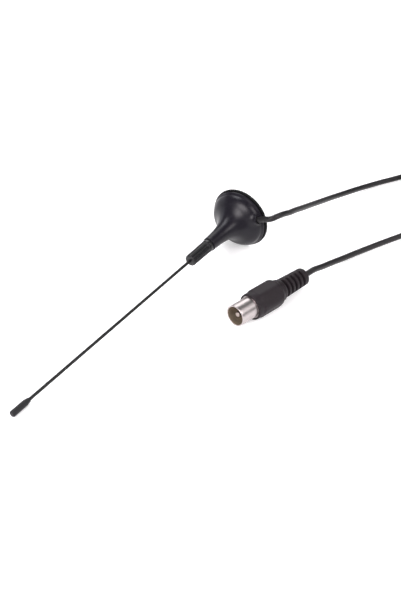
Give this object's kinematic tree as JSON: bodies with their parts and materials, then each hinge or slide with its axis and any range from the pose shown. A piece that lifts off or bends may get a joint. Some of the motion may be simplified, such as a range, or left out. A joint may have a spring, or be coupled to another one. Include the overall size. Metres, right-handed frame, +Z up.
{
  "type": "magnetic mount antenna",
  "caption": "Whip aerial on a round trumpet-shaped magnetic base, with a thin coaxial lead that ends in a coaxial aerial plug.",
  "frame": {"origin": "on the surface it lies on, under the middle of the antenna's own box (lead and plug left out)", "axes": "+X from the base towards the tip of the whip, +Z up from the surface, +Y towards the side where the lead and plug lie"},
  "size_m": [0.2817, 0.0976, 0.0291],
  "materials": {
    "shell_plastic": "satin black moulded plastic",
    "ring_plastic": "dark black moulded plastic",
    "pad_rubber": "black foam rubber",
    "magnet_black": "dark grey sintered magnet",
    "zinc_steel": "zinc plated",
    "turned_brass": "turned brass",
    "grip_plastic": "satin black moulded plastic",
    "whip_black": "black coated spring steel",
    "copper": "bare copper",
    "tinned_steel": "tinned",
    "lead_jacket": "matt black cable jacket",
    "tie_plastic": "black nylon",
    "nickel": "nickel plated",
    "insulator_plastic": "dull plastic",
    "plug_plastic": "matt dark grey moulded plastic"
  },
  "bodies": {
    "root": {"base_shell": "shell_plastic", "base_ring": "ring_plastic", "face_pad": "pad_rubber", "magnet": "magnet_black", "pole_plate": "zinc_steel", "contact_bush": "turned_brass", "whip_stud": "turned_brass", "whip_ferrule": "grip_plastic", "whip_rod": "whip_black", "tip_cap": "grip_plastic", "feed_wire": "copper", "ground_saddle": "copper", "inner_crimp": "tinned_steel", "lead_in_base": "lead_jacket", "lead_from_base": "lead_jacket", "lead_coil": "lead_jacket", "coil_tie": "tie_plastic", "lead_to_plug": "lead_jacket", "lead_in_plug": "lead_jacket", "plug_sleeve": "nickel", "plug_pin": "nickel", "plug_insulator": "insulator_plastic", "plug_crimp": "tinned_steel", "plug_core": "copper", "plug_body": "plug_plastic"}
  },
  "joints": []
}
